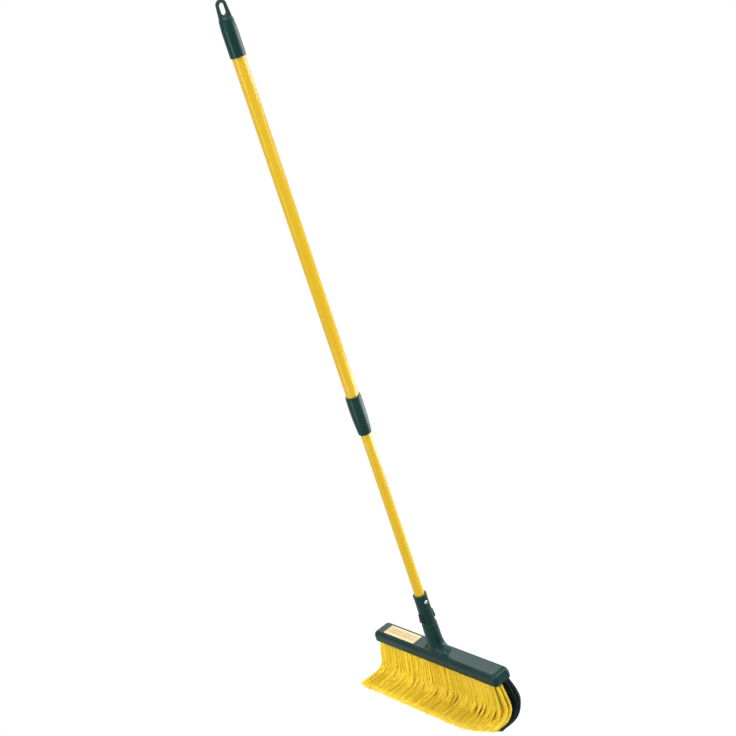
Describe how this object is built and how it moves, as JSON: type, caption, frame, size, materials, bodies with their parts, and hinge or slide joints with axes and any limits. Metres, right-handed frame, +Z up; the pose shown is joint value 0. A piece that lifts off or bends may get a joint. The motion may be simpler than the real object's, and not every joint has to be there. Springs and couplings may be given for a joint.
{
  "type": "outdoor broom",
  "caption": "Long-handled outdoor broom: telescopic painted handle with a twist collar and hanging loop, push-button head, and curled two-tone bristles.",
  "frame": {"origin": "centre of the hang slot in the cap at the top of the handle", "axes": "+Z up along the handle, +X along the head to its right end, and -Y to the front, where the bristle tips point"},
  "size_m": [0.3954, 0.1197, 1.5052],
  "materials": {
    "yellow_paint": "gloss",
    "dark_plastic": "satin",
    "black_plastic": "matte",
    "pale_nylon": "matte",
    "steel": "brushed",
    "label": "satin",
    "yellow_bristle": "matte",
    "green_bristle": "matte"
  },
  "bodies": {
    "upper_handle": {"hang_cap": "dark_plastic", "upper_tube": "yellow_paint", "collet": "pale_nylon"},
    "lock_ring": {"thrust_ring": "pale_nylon"},
    "lock_collar": {"twist_collar": "dark_plastic"},
    "guide": {"guide_bush": "pale_nylon"},
    "lower_handle": {"lower_tube": "yellow_paint", "handle_connector": "dark_plastic", "connector_rivet": "steel", "button_spring": "steel", "head_cover": "dark_plastic", "bristle_carrier": "dark_plastic", "carrier_screws": "steel", "label_plate": "label", "yellow_tufts_row_1": "yellow_bristle", "yellow_tufts_row_2": "yellow_bristle", "yellow_tufts_row_3": "yellow_bristle", "green_tufts_row_1": "green_bristle", "green_tufts_row_2": "green_bristle", "green_tufts_row_3": "green_bristle"},
    "front_button": {"release_button_front": "black_plastic"},
    "rear_button": {"release_button_rear": "black_plastic"}
  },
  "joints": [
    {"name": "telescope_slide", "type": "slide", "parent": "upper_handle", "child": "guide", "axis": [0, 0, 1], "range_m": [-0.25, 0.36]},
    {"name": "handle_swivel", "type": "hinge", "parent": "guide", "child": "lower_handle", "pos_m": [0, 0, -0.49], "axis": [0, 0, 1], "continuous": true},
    {"name": "collar_travel", "type": "slide", "parent": "upper_handle", "child": "lock_ring", "axis": [0, 0, -1], "range_m": [0, 0.0015]},
    {"name": "collar_turn", "type": "hinge", "parent": "lock_ring", "child": "lock_collar", "pos_m": [0, 0, -0.815], "axis": [0, 0, -1], "range_deg": [0, 180]},
    {"name": "front_button_press", "type": "slide", "parent": "lower_handle", "child": "front_button", "axis": [0, 1, 0], "range_m": [0, 0.003], "stiffness_N_per_m": 2000, "springref_m": -0.002, "deforming": ["button_spring"]},
    {"name": "rear_button_press", "type": "slide", "parent": "lower_handle", "child": "rear_button", "axis": [0, -1, 0], "range_m": [0, 0.003], "stiffness_N_per_m": 2000, "springref_m": -0.002, "deforming": ["button_spring"]}
  ],
  "couplings": [
    {"joint": "collar_turn", "follows": "collar_travel", "rad_per_m": 2094.4}
  ]
}
